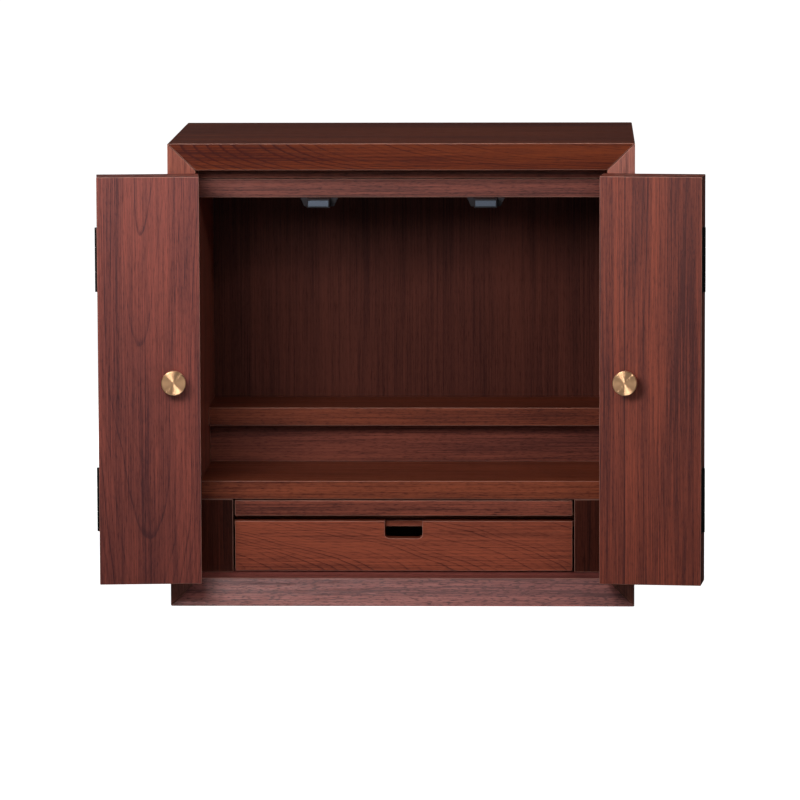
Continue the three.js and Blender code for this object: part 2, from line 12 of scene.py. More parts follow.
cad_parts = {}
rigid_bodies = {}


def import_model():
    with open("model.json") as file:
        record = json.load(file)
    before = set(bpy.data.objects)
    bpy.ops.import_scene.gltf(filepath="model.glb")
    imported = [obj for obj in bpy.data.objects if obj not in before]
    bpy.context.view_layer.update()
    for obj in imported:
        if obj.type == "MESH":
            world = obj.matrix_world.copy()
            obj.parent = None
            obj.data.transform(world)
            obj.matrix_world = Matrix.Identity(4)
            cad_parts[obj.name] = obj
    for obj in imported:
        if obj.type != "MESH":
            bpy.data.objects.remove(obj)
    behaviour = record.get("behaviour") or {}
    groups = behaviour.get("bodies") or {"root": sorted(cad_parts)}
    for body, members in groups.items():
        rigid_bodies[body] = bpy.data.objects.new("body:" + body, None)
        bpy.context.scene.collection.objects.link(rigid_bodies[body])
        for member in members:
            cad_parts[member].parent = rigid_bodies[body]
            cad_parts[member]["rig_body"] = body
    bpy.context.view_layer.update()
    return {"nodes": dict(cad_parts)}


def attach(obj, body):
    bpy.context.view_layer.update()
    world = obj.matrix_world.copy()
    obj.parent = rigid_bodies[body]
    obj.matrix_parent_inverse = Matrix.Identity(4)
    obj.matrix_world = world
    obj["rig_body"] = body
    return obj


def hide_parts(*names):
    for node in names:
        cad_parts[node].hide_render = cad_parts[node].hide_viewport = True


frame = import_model()

# The camera stands far off and higher than the case, a little to the right of the middle. It looks
# slightly down through a long lens, so that the frame shows the open front and the case's top.
CAMERA_PLACE = Vector((0.1635, -5.4097, 0.8368))
CAMERA_YAW, CAMERA_PITCH, CAMERA_ROLL = (math.radians(a) for a in (1.796, -6.875, 0.195))
camera_data = bpy.data.cameras.new("camera")
camera_data.sensor_width = 36
camera_data.lens = 247.1
camera = bpy.data.objects.new("camera", camera_data)
upright = Matrix.Rotation(CAMERA_YAW, 4, "Z") @ Matrix.Rotation(math.pi / 2 + CAMERA_PITCH, 4, "X")
rolled = Matrix.Rotation(-CAMERA_ROLL, 4, "Z")
camera.matrix_world = Matrix.Translation(CAMERA_PLACE) @ upright @ rolled
bpy.context.scene.collection.objects.link(camera)
bpy.context.scene.camera = camera


# The studio shows the camera a white floor and backdrop. The cabinet itself is lit by one gridded
# softbox, left of the camera and aimed at its upper part, by weaker ones to the right and overhead,
# by light thrown back from the table in front and by a pale front wall. The room behind it stays
# dim, with a low lamp for the back.
def add(tree, kind, inputs=None, **settings):
    """Adds a shader node; an input is a value or another node's output."""
    made = tree.nodes.new("ShaderNode" + kind)
    for key, value in settings.items():
        setattr(made, key, value)
    for key, value in (inputs or {}).items():
        if isinstance(value, bpy.types.NodeSocket):
            tree.links.new(value, made.inputs[key])
        else:
            made.inputs[key].default_value = value
    return made


def sums(tree, operation, *values):
    return add(tree, "Math", dict(enumerate(values)), operation=operation).outputs[0]


ROOM_BEHIND, ROOM_FRONT = 0.06, 0.2  # brightness of the room behind and of the front wall
bpy.context.scene.view_settings.view_transform = "Standard"
world = bpy.data.worlds.new("studio")
world.use_nodes = True
sky = world.node_tree
backdrop = sky.nodes["Background"]
backdrop.inputs["Color"].default_value = (1, 1, 1, 1)
heading = add(sky, "SeparateXYZ", {0: add(sky, "TexCoord").outputs["Generated"]}).outputs
front_wall = add(sky, "MapRange", {
    "Value": heading["Y"], "From Min": 0.1, "From Max": -0.8,
    "To Min": ROOM_BEHIND, "To Max": ROOM_FRONT,
}, interpolation_type="SMOOTHSTEP").outputs[0]
above_table = add(sky, "MapRange", {
    "Value": heading["Z"], "From Min": -0.3, "From Max": 0.05, "To Min": 0.1, "To Max": 1.0,
}, interpolation_type="SMOOTHSTEP").outputs[0]
room = add(sky, "Background", {"Strength": sums(sky, "MULTIPLY", front_wall, above_table)})
camera_ray = add(sky, "LightPath").outputs["Is Camera Ray"]
seen = add(sky, "MixShader", {0: camera_ray, 1: room.outputs[0], 2: backdrop.outputs[0]})
sky.links.new(seen.outputs[0], sky.nodes["World Output"].inputs["Surface"])
bpy.context.scene.world = world

LAMPS = {  # place, aim, width, height, power in watts, spread in degrees
    "key": ((-0.4, -1.35, 0.8), (-0.05, -0.15, 0.5), 0.6, 0.4, 2.45, 72),
    "fill": ((0.7, -1.6, 1.0), (0.12, -0.15, 0.35), 0.14, 0.14, 0.9, 100),
    "table": ((0.05, -1.9, 0.06), (0, -0.15, 0.24), 1.2, 0.3, 0.6, 120),
    "above": ((0, -0.2, 1.4), (0, 0, 0.45), 0.8, 0.4, 0.5, 90),
    "back": ((-0.9, 1.5, 0.5), (0, 0.1, 0.2), 0.8, 0.4, 4, 140),
}
for name, (place, aim, width, height, power, lamp_spread) in LAMPS.items():
    lamp_data = bpy.data.lights.new(name, "AREA")
    lamp_data.shape = "RECTANGLE"
    lamp_data.size = width
    lamp_data.size_y = height
    lamp_data.energy = power
    lamp_data.spread = math.radians(lamp_spread)
    lamp = bpy.data.objects.new(name, lamp_data)
    lamp.location = place
    lamp.rotation_euler = (Vector(aim) - Vector(place)).to_track_quat("-Z", "Y").to_euler()
    lamp.visible_camera = False
    bpy.context.scene.collection.objects.link(lamp)

FLOOR_HALF = 40
FLOOR_GLOW = 1.02  # just enough to leave no shade of grey round the cabinet
floor_mesh = bpy.data.meshes.new("floor")
square = ((-1, -1), (1, -1), (1, 1), (-1, 1))
floor_corners = [(x * FLOOR_HALF, y * FLOOR_HALF, 0) for x, y in square]
floor_mesh.from_pydata(floor_corners, [], [(0, 1, 2, 3)])
floor = bpy.data.objects.new("floor", floor_mesh)
floor_material = bpy.data.materials.new("white_floor")
floor_material.use_nodes = True
floor_shader = floor_material.node_tree.nodes["Principled BSDF"]
floor_shader.inputs["Base Color"].default_value = (0.9, 0.9, 0.9, 1)
floor_shader.inputs["Roughness"].default_value = 1
floor_shader.inputs["Specular IOR Level"].default_value = 0
floor_shader.inputs["Emission Color"].default_value = (1, 1, 1, 1)
floor_shader.inputs["Emission Strength"].default_value = FLOOR_GLOW
floor_mesh.materials.append(floor_material)
bpy.context.scene.collection.objects.link(floor)
floor.visible_diffuse = False
floor.visible_glossy = False


# The case is four walnut boards, mitred and glued at the corners, with front faces planed back to
# the opening. Their arrises are eased with a few strokes of sandpaper, and a painted highlight
# lightens the rounded faces where they catch the light.
def spread(tree, value, low, high, to_low=0.0, to_high=1.0):
    """Maps a value from one range to another and keeps it there."""
    ends = {"From Min": low, "From Max": high, "To Min": to_low, "To Max": to_high}
    return add(tree, "MapRange", {"Value": value} | ends).outputs[0]


def stretched(tree, place, scale, seed, detail):
    """Soft noise, centred on 0, drawn out along the grain by its three scales."""
    scaled = add(tree, "VectorMath", {0: place, 1: scale}, operation="MULTIPLY").outputs[0]
    noise = add(tree, "TexNoise", {"Vector": scaled, "W": seed, "Scale": 1.0, "Detail": detail},
                noise_dimensions="4D").outputs[0]
    return sums(tree, "SUBTRACT", noise, 0.5)


def blended(tree, factor, a, b, mode="MIX"):
    mix = add(tree, "Mix", {0: factor, 6: a, 7: b}, data_type="RGBA", blend_type=mode)
    return mix.outputs[2]


FIGURE = {  # waves per metre along, across and through the board, and the noise's detail
    "bend": ((4.0, 9.0, 9.0), 1.0),
    "waver": ((11.0, 60.0, 60.0), 2.0),
    "broad": ((2.2, 34.0, 34.0), 2.0),
    "streak": ((1.6, 210.0, 210.0), 4.0),
    "fibre": ((11.0, 820.0, 820.0), 3.0),
    "pores": ((70.0, 1600.0, 1600.0), 2.0),
    "flecks": ((170.0, 1150.0, 1150.0), 2.0),
}
OTHER_LEAF_SEED, OTHER_LEAF_SHIFT = 7.3, 0.04
SEAM_HALF = (0.0004, 0.0009)  # where a seam's dark glue line starts to fade, and where it ends
WAVER_SHARE = 0.2  # the fine waver of a ring, beside its bend
LATE_RISE, LATE_FALL, LATE_CURVE = (0.35, 0.9), (1.0, 0.95), 4.5  # late wood within a ring
FAINTEST_YEAR, YEAR_CURVE = 0.1, 2.5  # how much the rings differ from year to year
PORE_RANGE, FLECK_RANGE = (0.05, 0.2), (0.02, 0.16)  # noise that opens a pore or darkens a fleck
PLAIN_TINT, BROAD_TINT, FIBRE_TINT, SEAM_TINT = 0.34, 1.8, 2.1, 0.8  # from light, 0, to dark, 1
PORE_TINT, PORE_DARKENING = (0.25, 0.16, 0.17, 1), 0.6
# Painted highlight: rounded arris faces are blended by this share towards a pale pink, standing in
# for the light they catch.
ARRIS_HIGHLIGHT_TINT, ARRIS_HIGHLIGHT_SHARE = (0.5, 0.25, 0.19, 1), 0.5
PLAIN_ROUGHNESS, FIBRE_ROUGHNESS, PORE_ROUGHNESS = 0.42, 0.3, 0.15
FIBRE_HEIGHT = 0.5  # beside a pore's depth of 1


def walnut_group():
    """Walnut from a log whose heart runs almost along X: growth rings, streaks, fibre and pores."""
    tree = bpy.data.node_groups.new("walnut", "ShaderNodeTree")
    numbers = (
        "Heart Across", "Heart Depth", "Lean Across", "Lean Depth", "Ring Width", "Wander", "Seed",
        "Rings", "Streaks", "Flecks", "Seam", "Arris",
    )
    taken = {"Place": "Vector", "Light": "Color", "Dark": "Color"} | dict.fromkeys(numbers, "Float")
    handed = {"Color": "Color", "Roughness": "Float", "Height": "Float"}
    for way, ends in (("INPUT", taken), ("OUTPUT", handed)):
        for name, kind in ends.items():
            tree.interface.new_socket(name, in_out=way, socket_type="NodeSocket" + kind)
    given = tree.nodes.new("NodeGroupInput").outputs
    along, across, depth = add(tree, "SeparateXYZ", {0: given["Place"]}).outputs

    # Veneer beyond a seam comes from another leaf of the log
    from_seam = sums(tree, "SUBTRACT", across, given["Seam"])
    other_leaf = sums(tree, "LESS_THAN", from_seam, 0.0)
    seam_line = spread(tree, sums(tree, "ABSOLUTE", from_seam), *SEAM_HALF, 1.0, 0.0)
    seed = sums(tree, "MULTIPLY_ADD", other_leaf, OTHER_LEAF_SEED, given["Seed"])
    across = sums(tree, "MULTIPLY_ADD", other_leaf, OTHER_LEAF_SHIFT, across)
    place = add(tree, "CombineXYZ", {0: along, 1: across, 2: depth}).outputs[0]
    noise = {}
    for name, (scale, detail) in FIGURE.items():
        noise[name] = stretched(tree, place, scale, seed, detail)

    # Distance from the wandering heart of the log, in rings
    bend = sums(tree, "MULTIPLY_ADD", noise["waver"], WAVER_SHARE, noise["bend"])
    moved = sums(tree, "MULTIPLY", bend, given["Wander"])
    side = sums(tree, "SUBTRACT", across, given["Heart Across"])
    side = sums(tree, "ADD", sums(tree, "MULTIPLY_ADD", along, given["Lean Across"], side), moved)
    deep = sums(tree, "SUBTRACT", depth, given["Heart Depth"])
    deep = sums(tree, "MULTIPLY_ADD", along, given["Lean Depth"], deep)
    squared = sums(tree, "MULTIPLY_ADD", side, side, sums(tree, "MULTIPLY", deep, deep))
    rings = sums(tree, "DIVIDE", sums(tree, "SQRT", squared), given["Ring Width"])
    year = sums(tree, "FLOOR", rings)
    season = sums(tree, "FRACT", rings)
    late = sums(tree, "POWER", spread(tree, season, *LATE_RISE), LATE_CURVE)
    late = sums(tree, "MULTIPLY", late, spread(tree, season, *LATE_FALL))
    each_year = {"W": sums(tree, "ADD", year, seed)}
    hard_year = add(tree, "TexWhiteNoise", each_year, noise_dimensions="1D").outputs[0]
    hard_year = sums(tree, "POWER", hard_year, YEAR_CURVE)
    hard_year = sums(tree, "MULTIPLY_ADD", hard_year, 1 - FAINTEST_YEAR, FAINTEST_YEAR)
    ring_line = sums(tree, "MULTIPLY", late, hard_year)

    # Colour streaks, fibre and open pores, all drawn out along the grain
    pore = spread(tree, noise["pores"], *PORE_RANGE)
    fleck = sums(tree, "MULTIPLY", spread(tree, noise["flecks"], *FLECK_RANGE), given["Flecks"])
    tint = sums(tree, "MULTIPLY_ADD", noise["broad"], BROAD_TINT, PLAIN_TINT)
    tint = sums(tree, "MULTIPLY_ADD", noise["streak"], given["Streaks"], tint)
    tint = sums(tree, "MULTIPLY_ADD", ring_line, given["Rings"], tint)
    tint = sums(tree, "MULTIPLY_ADD", noise["fibre"], FIBRE_TINT, tint)
    tint = sums(tree, "ADD", tint, sums(tree, "MULTIPLY_ADD", seam_line, SEAM_TINT, fleck))
    tint = add(tree, "Clamp", {0: tint}).outputs[0]
    colour = blended(tree, tint, given["Light"], given["Dark"])
    pore_shade = sums(tree, "MULTIPLY", pore, PORE_DARKENING)
    colour = blended(tree, pore_shade, colour, PORE_TINT, "MULTIPLY")
    # Painted highlight: the rounded arris faces, marked by the attribute arris, are lightened
    # towards a pale pink.
    colour = blended(tree, sums(tree, "MULTIPLY", given["Arris"], ARRIS_HIGHLIGHT_SHARE), colour, ARRIS_HIGHLIGHT_TINT)

    result = tree.nodes.new("NodeGroupOutput").inputs
    tree.links.new(colour, result["Color"])
    rough = sums(tree, "MULTIPLY_ADD", noise["fibre"], FIBRE_ROUGHNESS, PLAIN_ROUGHNESS)
    tree.links.new(sums(tree, "MULTIPLY_ADD", pore, PORE_ROUGHNESS, rough), result["Roughness"])
    height = sums(tree, "SUBTRACT", sums(tree, "MULTIPLY", noise["fibre"], FIBRE_HEIGHT), pore)
    tree.links.new(height, result["Height"])
    return tree


WALNUT = walnut_group()
PORE_DEPTH = 0.00006
RED_LIGHT = (0.40, 0.098, 0.046, 1)
RED_DARK = (0.125, 0.024, 0.014, 1)
USUAL_FIGURE = {
    "Heart Across": 0.0, "Heart Depth": 0.1, "Lean Across": 0.0, "Lean Depth": 0.02,
    "Ring Width": 0.006, "Wander": 0.03, "Rings": 0.5, "Streaks": 1.2, "Flecks": 0.25, "Seam": -9.0,
}


def walnut(name, grain, light=RED_LIGHT, dark=RED_DARK, sheen=0.35, figure=None):
    """Walnut for one board; grain names the board's length, width and thickness, such as 'zxy'."""
    material = bpy.data.materials.new(name)
    material.use_nodes = True
    tree = material.node_tree
    shader = tree.nodes["Principled BSDF"]
    shader.inputs["Specular IOR Level"].default_value = sheen
    parts = add(tree, "SeparateXYZ", {0: add(tree, "TexCoord").outputs["Object"]}).outputs
    turned = {i: parts["xyz".index(axis)] for i, axis in enumerate(grain)}
    place = add(tree, "CombineXYZ", turned).outputs[0]
    wood = tree.nodes.new("ShaderNodeGroup")
    wood.node_tree = WALNUT
    looks = USUAL_FIGURE | {"Seed": float(len(bpy.data.materials))} | (figure or {})
    for key, value in (looks | {"Light": light, "Dark": dark}).items():
        wood.inputs[key].default_value = value
    tree.links.new(place, wood.inputs["Place"])
    arris = add(tree, "Attribute", attribute_name="arris").outputs["Fac"]
    tree.links.new(arris, wood.inputs["Arris"])
    tree.links.new(wood.outputs["Color"], shader.inputs["Base Color"])
    tree.links.new(wood.outputs["Roughness"], shader.inputs["Roughness"])
    height = wood.outputs["Height"]
    bump = add(tree, "Bump", {"Strength": 1.0, "Distance": PORE_DEPTH, "Height": height})
    tree.links.new(bump.outputs[0], shader.inputs["Normal"])
    return material


WELD = 2e-6
FLAT_WITHIN, SHARP_FROM = math.radians(1), math.radians(30)
ARRIS_STEPS = 3


def eased(node, material, radius):
    """Copies a CAD node and rounds its outer arrises; the attribute arris marks those faces."""
    board = bmesh.new()
    board.from_mesh(frame["nodes"][node].data)
    bmesh.ops.remove_doubles(board, verts=board.verts, dist=WELD)
    bmesh.ops.dissolve_limit(
        board, angle_limit=FLAT_WITHIN, verts=board.verts, edges=board.edges, delimit={"NORMAL"}
    )
    sharp = [e for e in board.edges if e.is_convex and e.calc_face_angle(0) > SHARP_FROM]
    rounded = bmesh.ops.bevel(
        board, geom=sharp, offset=radius, offset_type="OFFSET", segments=ARRIS_STEPS, profile=0.5,
        affect="EDGES", clamp_overlap=False,
    )
    bmesh.ops.triangulate(board, faces=[f for f in board.faces if len(f.verts) > 4])
    mesh = bpy.data.meshes.new(node + "_eased")
    board.faces.index_update()
    arris_faces = {f.index for f in rounded["faces"] if f.is_valid}
    board.to_mesh(mesh)
    board.free()
    marks = [float(i in arris_faces) for i in range(len(mesh.polygons))]
    mesh.attributes.new("arris", "FLOAT", "FACE").data.foreach_set("value", marks)
    mesh.materials.clear()
    mesh.materials.append(material)
    piece = bpy.data.objects.new(node + "_eased", mesh)
    bpy.context.scene.collection.objects.link(piece)
    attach(piece, frame["nodes"][node]["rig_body"])
    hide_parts(node)


CASE_ARRIS = 0.0007
TOP_FIGURE = {
    "Heart Across": 0.4435, "Heart Depth": -0.22, "Lean Across": -0.1, "Lean Depth": -0.09,
    "Ring Width": 0.0014, "Wander": 0.005, "Seed": 491.0, "Rings": 1.1, "Streaks": 1.3,
}
# Painted shade and sheen: the top board is coloured much darker, standing in for the shade on its
# downward-tilted front face, and the bottom board paler and pinker, standing in for the softbox's
# sheen on its upward-tilted front face.
CASE_BOARDS = {  # grain, light colour, dark colour, sheen, figure
    "case_top": ("xzy", (0.215, 0.043, 0.014, 1), (0.068, 0.011, 0.0075, 1), 0.3, TOP_FIGURE),
    "case_bottom": ("xyz", (0.47, 0.133, 0.107, 1), (0.13, 0.031, 0.03, 1), 0.45, {"Flecks": 1.0}),
    "case_left": ("zyx", (0.42, 0.12, 0.075, 1), (0.15, 0.036, 0.026, 1), 0.4, {}),
    "case_right": ("zyx", (0.42, 0.12, 0.075, 1), (0.15, 0.036, 0.026, 1), 0.4, {}),
}
for name, looks in CASE_BOARDS.items():
    eased(name, walnut(f"{name}_walnut", *looks), CASE_ARRIS)

# The back is a thin walnut panel, let into grooves in the case behind the shelves. Its grain is
# upright, and it is coloured much darker than the boards round it: painted shade, standing in for
# the shade deep inside the case.
BACK_ARRIS = 0.0003
# Painted shade: these dark inside colours stand in for the shade deep inside the case.
SHADED_INSIDE_LIGHT = (0.096, 0.025, 0.016, 1)
SHADED_INSIDE_DARK = (0.04, 0.0098, 0.0073, 1)
BACK_FIGURE = {"Ring Width": 0.007, "Rings": 0.2, "Streaks": 0.8}
back_wood = walnut("back_walnut", "zxy", SHADED_INSIDE_LIGHT, SHADED_INSIDE_DARK, 0.06, BACK_FIGURE)
eased("back_panel", back_wood, BACK_ARRIS)

# The ceiling board hangs under the case's top with a narrow strip above its front edge; the two
# shelves are stepped and joined by an upright riser. All are solid walnut with the grain across.
SHELF_ARRIS = 0.0006
SHELF_FIGURE = {"Flecks": 0.5}
SHELVES = {  # grain, light colour, dark colour, sheen
    "ceiling_board": ("xyz", (0.24, 0.062, 0.042, 1), (0.065, 0.016, 0.013, 1), 0.22),
    "ceiling_strip": ("xyz", (0.25, 0.058, 0.032, 1), (0.08, 0.016, 0.01, 1), 0.15),
    "upper_shelf": ("xyz", (0.24, 0.055, 0.024, 1), (0.08, 0.016, 0.009, 1), 0.15),
    "riser": ("xzy", (0.22, 0.056, 0.034, 1), (0.08, 0.019, 0.014, 1), 0.12),
    "lower_shelf": ("xyz", (0.31, 0.072, 0.031, 1), (0.10, 0.02, 0.011, 1), 0.15),
}
for name, looks in SHELVES.items():
    eased(name, walnut(f"{name}_walnut", *looks, SHELF_FIGURE), SHELF_ARRIS)

# Fillers stand beside the drawer with their grain upright; guides behind them carry the divider
# on which the tray slides.
FILLER_LIGHT = (0.09, 0.018, 0.009, 1)
FILLER_DARK = (0.025, 0.005, 0.003, 1)
for side in ("left", "right"):
    filler_wood = walnut(f"{side}_filler_walnut", "zxy", FILLER_LIGHT, FILLER_DARK, sheen=0.08)
    eased(f"{side}_filler", filler_wood, SHELF_ARRIS)
    # The guides take the back's dark inside colours, painted shade for their place behind the
    # fillers.
    guide_wood = walnut(f"{side}_guide_walnut", "yzx", SHADED_INSIDE_LIGHT, SHADED_INSIDE_DARK, sheen=0.1)
    eased(f"{side}_drawer_guide", guide_wood, SHELF_ARRIS)
eased("bay_divider", walnut("divider_walnut", "xyz", sheen=0.2), SHELF_ARRIS)

# The drawer has a walnut front with a finger notch cut by a round-nosed cutter, and a plain box
# of pale hardwood with a plywood bottom behind it. The tray above it is one walnut board.
FRONT_LIGHT = (0.38, 0.084, 0.039, 1)
FRONT_DARK = (0.11, 0.021, 0.012, 1)
FRONT_FIGURE = {
    "Heart Across": 0.011, "Heart Depth": -0.138, "Lean Across": 0.1, "Lean Depth": 0.22,
    "Ring Width": 0.003, "Wander": 0.05, "Seed": 67.0, "Rings": 1.1, "Streaks": 0.6,
}
front_wood = walnut("drawer_front_walnut", "xzy", FRONT_LIGHT, FRONT_DARK, 0.2, FRONT_FIGURE)
eased("drawer_front", front_wood, SHELF_ARRIS)
BOX_ARRIS = 0.0004
PALE_LIGHT = (0.56, 0.38, 0.22, 1)
PALE_DARK = (0.36, 0.22, 0.12, 1)
BOX_GRAINS = {"left_side": "yzx", "right_side": "yzx", "back": "xzy", "bottom": "xyz"}
for part, grain in BOX_GRAINS.items():
    box_wood = walnut(f"drawer_{part}_hardwood", grain, PALE_LIGHT, PALE_DARK)
    eased(f"drawer_{part}", box_wood, BOX_ARRIS)
TRAY_LIGHT = (0.34, 0.082, 0.046, 1)
TRAY_DARK = (0.09, 0.02, 0.013, 1)
tray_wood = walnut("tray_walnut", "xyz", TRAY_LIGHT, TRAY_DARK, 0.2, SHELF_FIGURE)
eased("tray_board", tray_wood, SHELF_ARRIS)

# Each door is a pair of walnut-faced panels with upright grain, hinged to each other and to the
# case. The face of the right-hand centre panel is joined from two leaves of veneer.
DOOR_ARRIS = 0.0006
SEAM_ACROSS = 0.2147
DOORS = {  # light colour, dark colour, figure
    "left": ((0.32, 0.068, 0.045, 1), (0.08, 0.014, 0.015, 1), {
        "Heart Across": -0.2503, "Heart Depth": -0.145, "Lean Depth": 0.1, "Ring Width": 0.0036,
        "Wander": 0.03, "Seed": 60.0, "Rings": 0.6, "Streaks": 0.7,
    }),
    "right": ((0.345, 0.067, 0.033, 1), (0.09, 0.014, 0.011, 1), {
        "Heart Across": 0.4, "Heart Depth": -0.12, "Ring Width": 0.004, "Wander": 0.02,
        "Streaks": 0.9,
    }),
}
for side, (light, dark, figure) in DOORS.items():
    jamb_wood = walnut(f"{side}_jamb_walnut", "zxy", light, dark, figure=figure)
    eased(f"{side}_jamb_panel", jamb_wood, DOOR_ARRIS)
    seam = {"Seam": SEAM_ACROSS} if side == "right" else {}
    centre_wood = walnut(f"{side}_centre_walnut", "zxy", light, dark, figure=figure | seam)
    eased(f"{side}_centre_panel", centre_wood, DOOR_ARRIS)


# Hinges are pressed steel, blackened; catches are grey mouldings, each with a dark magnet bar that
# meets a zinc-plated strike plate on a door.
MOTTLE_SCALE, MOTTLE_SEED, MOTTLE_DEPTH = (900.0, 900.0, 900.0), 3.0, 0.00002
DULLED = 0.75  # a metal's darker patches, as a share of its colour


def metal(name, colour, roughness, metallic, sheen=0.5):
    material = bpy.data.materials.new(name)
    material.use_nodes = True
    tree = material.node_tree
    shader = tree.nodes["Principled BSDF"]
    shader.inputs["Metallic"].default_value = metallic
    shader.inputs["Specular IOR Level"].default_value = sheen
    place = add(tree, "TexCoord").outputs["Object"]
    mottle = stretched(tree, place, MOTTLE_SCALE, MOTTLE_SEED, 3.0)
    dull = tuple(DULLED * c for c in colour[:3]) + (1,)
    shade = blended(tree, spread(tree, mottle, -0.3, 0.3), colour, dull)
    tree.links.new(shade, shader.inputs["Base Color"])
    tree.links.new(sums(tree, "MULTIPLY_ADD", mottle, 0.2, roughness), shader.inputs["Roughness"])
    bump = add(tree, "Bump", {"Strength": 0.5, "Distance": MOTTLE_DEPTH, "Height": mottle})
    tree.links.new(bump.outputs[0], shader.inputs["Normal"])
    return material


BLACKENED = metal("blackened_steel", (0.012, 0.011, 0.012, 1), 0.42, 0.7)
MOULDED = metal("grey_moulding", (0.02, 0.016, 0.019, 1), 0.6, 0.0, sheen=0.15)
ZINC = metal("zinc_plate", (0.5, 0.52, 0.56, 1), 0.35, 1.0)
POLE = metal("magnet_pole", (0.09, 0.105, 0.135, 1), 0.35, 1.0)
LEAF_ARRIS, MOULDED_ARRIS, PLATE_ARRIS = 0.00015, 0.0005, 0.0002
leaves = [name for name in sorted(frame["nodes"]) if name.endswith("_leaf")]
for name in leaves:
    eased(name, BLACKENED, LEAF_ARRIS)
for side in ("left", "right"):
    eased(f"{side}_catch_body", MOULDED, MOULDED_ARRIS)
    eased(f"{side}_catch_magnet", POLE, PLATE_ARRIS)
    eased(f"{side}_strike_plate", ZINC, PLATE_ARRIS)


# Three countersunk cross-slot screws hold each hinge leaf and two each strike plate. Their heads
# are set out on the broad faces of the leaves and plates, one mesh for each body and metal.
UP = Vector((0, 0, 1))


def middle_of(name):
    mesh = frame["nodes"][name].data
    return sum((v.co for v in mesh.vertices), Vector()) / len(mesh.vertices)


def broad_face(name, away_from):
    """A plate's broad face that looks away from a place: centre, normal, sideways and half sizes.

    The half sizes are upright and sideways.
    """
    mesh = frame["nodes"][name].data
    faces = sorted(mesh.polygons, key=lambda face: -face.area)
    normal = faces[0].normal.copy()
    if normal.dot(middle_of(name) - away_from) < 0:
        normal.negate()
    face = [f for f in faces if f.normal.dot(normal) > 0.999 and f.area > 0.1 * faces[0].area]
    corners = [mesh.vertices[i].co for f in face for i in f.vertices]
    sideways = UP.cross(normal)
    low = Vector((min(c.z for c in corners), min(c.dot(sideways) for c in corners), 0))
    high = Vector((max(c.z for c in corners), max(c.dot(sideways) for c in corners), 0))
    middle = (low + high) / 2
    place = UP * middle.x + sideways * middle.y + normal * corners[0].dot(normal)
    return place, normal, sideways, (high - low) / 2


HEAD_SIDES = 32
SLOT_REACH = 1.3  # a slot's cutter, as a share of the head's radius


def screw_tree():
    """Sets a screw head on every point, its face along the point's attribute facing."""
    tree = bpy.data.node_groups.new("screws", "GeometryNodeTree")
    tree.interface.new_socket("Geometry", in_out="INPUT", socket_type="NodeSocketGeometry")
    for label, value in (("Head Radius", 0.0021), ("Head Height", 0.0004), ("Slot Width", 0.0006)):
        size = tree.interface.new_socket(label, in_out="INPUT", socket_type="NodeSocketFloat")
        size.default_value = value
    tree.interface.new_socket("Material", in_out="INPUT", socket_type="NodeSocketMaterial")
    tree.interface.new_socket("Geometry", in_out="OUTPUT", socket_type="NodeSocketGeometry")
    given = tree.nodes.new("NodeGroupInput").outputs

    def node(kind, inputs, **settings):
        made = tree.nodes.new(kind)
        for key, value in settings.items():
            setattr(made, key, value)
        for key, value in inputs.items():
            if isinstance(value, bpy.types.NodeSocket):
                tree.links.new(value, made.inputs[key])
            else:
                made.inputs[key].default_value = value
        return made.outputs

    radius, thickness = given["Head Radius"], given["Head Height"]
    head = node("GeometryNodeMeshCone", {
        "Vertices": HEAD_SIDES, "Radius Top": radius, "Radius Bottom": radius, "Depth": thickness,
    })["Mesh"]
    slot_length = node("ShaderNodeMath", {0: radius, 1: SLOT_REACH}, operation="MULTIPLY")[0]
    bar_size = {"X": slot_length, "Y": given["Slot Width"], "Z": thickness}
    bar_size = node("ShaderNodeCombineXYZ", bar_size)[0]
    bar = node("GeometryNodeMeshCube", {"Size": bar_size})["Mesh"]
    bars = []
    for turn in (0.0, math.pi / 2):
        place = node("ShaderNodeCombineXYZ", {"Z": thickness})[0]
        bars.append(node("GeometryNodeTransform", {
            "Geometry": bar, "Translation": place, "Rotation": (0, 0, turn),
        })[0])
    cross = node("GeometryNodeMeshBoolean", {"Mesh 2": bars[0]}, operation="UNION")[0]
    tree.links.new(bars[1], cross.node.inputs["Mesh 2"])
    head_and_cross = {"Mesh 1": head, "Mesh 2": cross}
    cut = node("GeometryNodeMeshBoolean", head_and_cross, operation="DIFFERENCE")[0]
    facing = node(
        "GeometryNodeInputNamedAttribute", {"Name": "facing"}, data_type="FLOAT_VECTOR",
    )[0]
    turned = node("FunctionNodeAlignRotationToVector", {"Vector": facing}, axis="Z")[0]
    placed = node("GeometryNodeInstanceOnPoints", {
        "Points": given["Geometry"], "Instance": cut, "Rotation": turned,
    })[0]
    solid = node("GeometryNodeRealizeInstances", {"Geometry": placed})[0]
    dressed = node("GeometryNodeSetMaterial", {"Geometry": solid, "Material": given["Material"]})[0]
    tree.links.new(dressed, tree.nodes.new("NodeGroupOutput").inputs[0])
    return tree


SCREWS = screw_tree()


def screws(body, spots, material, slot):
    """One mesh of screw heads on a body; a spot is a place and the direction its head faces."""
    points = bpy.data.meshes.new("screw_spots")
    points.from_pydata([place for place, _ in spots], [], [])
    facing = points.attributes.new("facing", "FLOAT_VECTOR", "POINT")
    facing.data.foreach_set("vector", [c for _, normal in spots for c in normal])
    holder = bpy.data.objects.new("screw_spots", points)
    bpy.context.scene.collection.objects.link(holder)
    modifier = holder.modifiers.new("screws", "NODES")
    modifier.node_group = SCREWS
    for socket in SCREWS.interface.items_tree:
        if socket.in_out == "INPUT" and socket.name == "Material":
            modifier[socket.identifier] = material
    bpy.context.view_layer.update()
    made = holder.evaluated_get(bpy.context.evaluated_depsgraph_get())
    mesh = bpy.data.meshes.new_from_object(made)
    holder.modifiers.remove(modifier)
    bpy.data.objects.remove(holder)
    piece = bpy.data.objects.new(f"{body}_{slot}_screws", mesh)
    bpy.context.scene.collection.objects.link(piece)
    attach(piece, body)


